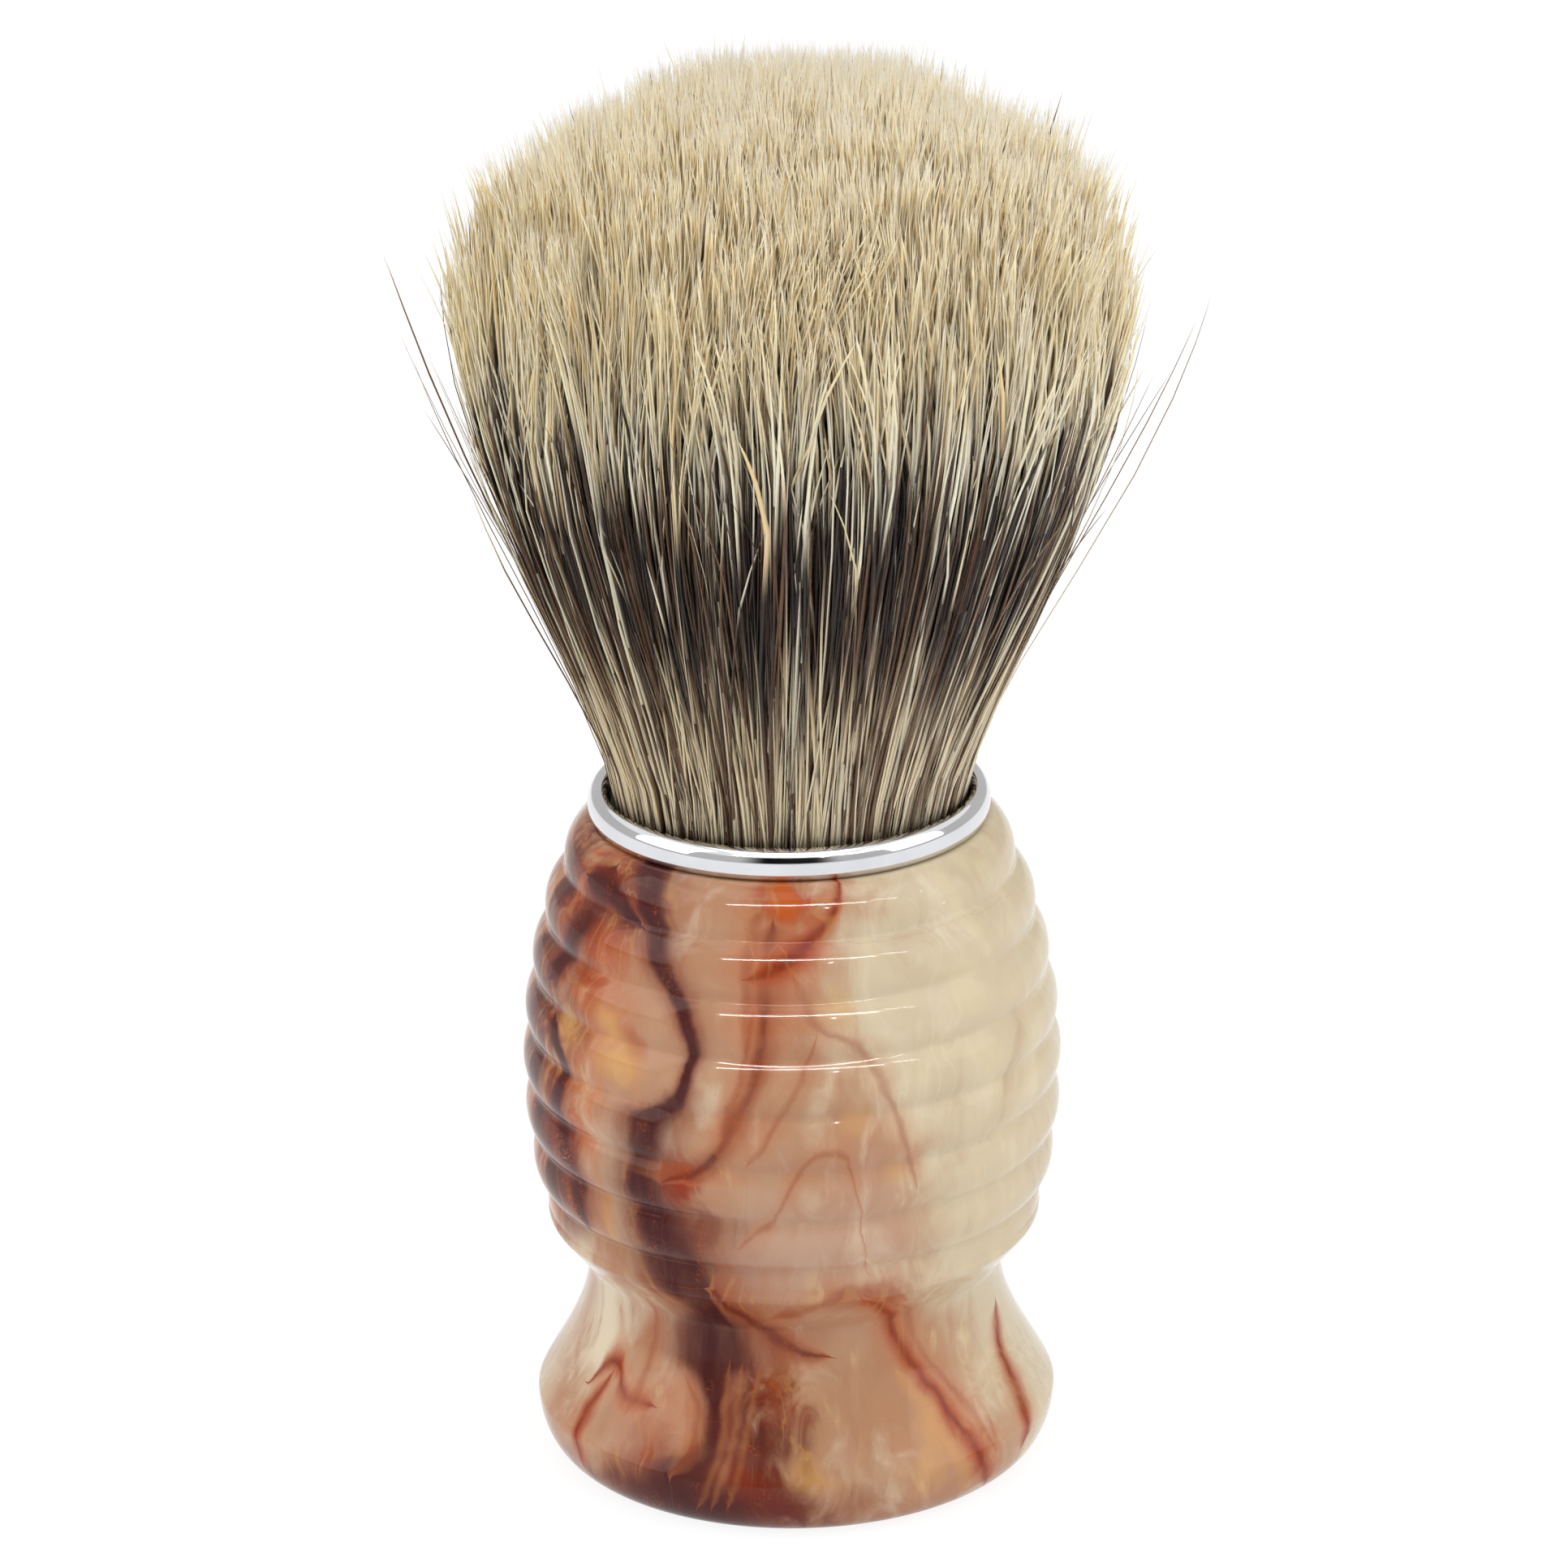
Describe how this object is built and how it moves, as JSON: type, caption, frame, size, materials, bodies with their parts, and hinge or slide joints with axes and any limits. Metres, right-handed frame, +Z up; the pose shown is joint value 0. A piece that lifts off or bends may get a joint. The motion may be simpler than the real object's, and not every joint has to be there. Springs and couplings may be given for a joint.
{
  "type": "shaving brush",
  "caption": "Shaving brush with a turned ribbed resin handle on a flared foot, a bright collar ring and a domed, flared knot of banded hair glued into the handle's socket.",
  "frame": {"origin": "centre of the flat base, on the brush's axis", "axes": "+Z up along the brush's axis, from the base to the tips of the hair; -Y is the side that faces the viewer in the picture"},
  "size_m": [0.0445, 0.0446, 0.0967],
  "materials": {
    "marbled_resin": "polished marbled cream and red-brown cast resin",
    "bright_ring": "polished",
    "cured_adhesive": "cured epoxy",
    "set_roots": "hair roots set hard in glue",
    "thread": "waxed cotton thread",
    "hair": "badger hair, cream tips with a dark band"
  },
  "bodies": {
    "root": {"handle": "marbled_resin", "collar_ring": "bright_ring", "socket_adhesive": "cured_adhesive", "knot_plug": "set_roots", "binding_thread": "thread", "knot_hair": "hair"}
  },
  "joints": []
}
